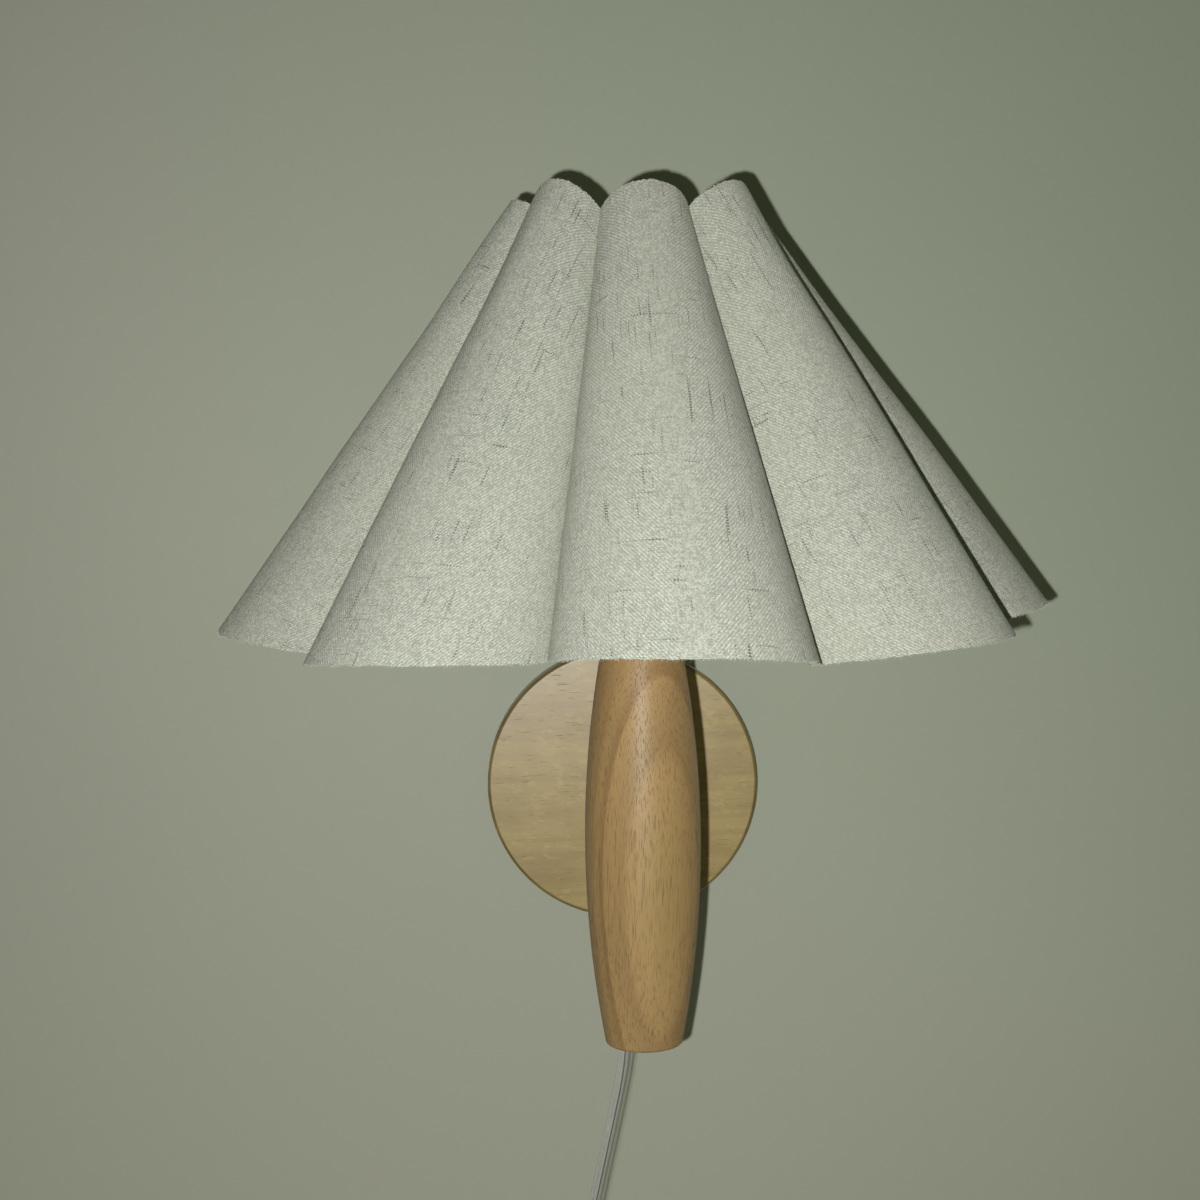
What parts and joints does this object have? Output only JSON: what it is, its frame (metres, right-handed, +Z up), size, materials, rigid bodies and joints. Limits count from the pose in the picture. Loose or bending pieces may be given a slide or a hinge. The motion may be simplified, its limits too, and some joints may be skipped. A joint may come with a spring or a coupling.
{
  "type": "wall light",
  "caption": "Plug-in wall light: round wooden plate, hidden wooden arm, barrel-shaped wooden spindle, fluted linen shade open above and below, bulb in a lampholder, cord with switch and plug.",
  "frame": {"origin": "centre of the wall plate's back face, on the wall", "axes": "+X to the viewer's right, +Y into the wall, +Z up along the spindle"},
  "size_m": [0.3012, 0.3043, 0.5556],
  "materials": {
    "plate_wood": "satin",
    "spindle_wood": "satin",
    "arm_wood": "satin",
    "linen": "matte weave",
    "zinc_steel": "satin",
    "white_wire": "satin",
    "brass": "satin",
    "black_rubber": "matte",
    "white_plastic": "gloss",
    "clear_pvc": "clear gloss",
    "frosted_glass": "frosted",
    "bulb_metal": "satin"
  },
  "bodies": {
    "base": {"wall_plate": "plate_wood", "hanging_strip": "zinc_steel", "hanging_strip_screws": "zinc_steel", "arm_bolt": "zinc_steel", "arm_bolt_washer": "zinc_steel", "arm_threaded_insert": "brass", "arm_dowel": "arm_wood", "arm": "arm_wood", "swivel_stud": "zinc_steel", "swivel_friction_washer": "black_rubber"},
    "lamp": {"spindle": "spindle_wood", "spindle_threaded_insert": "brass", "cord_bushing": "white_plastic", "lampholder_leads": "clear_pvc", "nipple": "zinc_steel", "nipple_nut": "zinc_steel", "lampholder_seat_washer": "zinc_steel", "lampholder_cap": "white_plastic", "lampholder_body": "white_plastic", "lampholder_insulator": "white_plastic", "lampholder_terminal_screws": "brass", "lampholder_screw_shell": "brass", "lampholder_centre_contact": "brass", "shade_ring_lower": "white_plastic", "shade_ring_upper": "white_plastic", "shade_carrier": "white_wire", "shade": "linen", "bulb_globe": "frosted_glass", "bulb_screw_cap": "bulb_metal", "bulb_contact_tip": "brass", "supply_cord": "clear_pvc", "cord_ties": "clear_pvc", "switch_base": "white_plastic", "switch_cover": "white_plastic", "switch_screws": "zinc_steel", "switch_contacts": "brass", "plug_body": "white_plastic", "plug_blades": "brass"},
    "rocker": {"switch_rocker": "white_plastic"}
  },
  "joints": [
    {"name": "lamp_swivel", "type": "hinge", "parent": "base", "child": "lamp", "pos_m": [0, -0.138, 0], "axis": [0, 1, 0], "range_deg": [-90, 90]},
    {"name": "switch_rock", "type": "hinge", "parent": "lamp", "child": "rocker", "pos_m": [-0.0281, -0.1649, -0.176], "axis": [0.9769, 0, -0.2135], "range_deg": [-16, 0]}
  ]
}
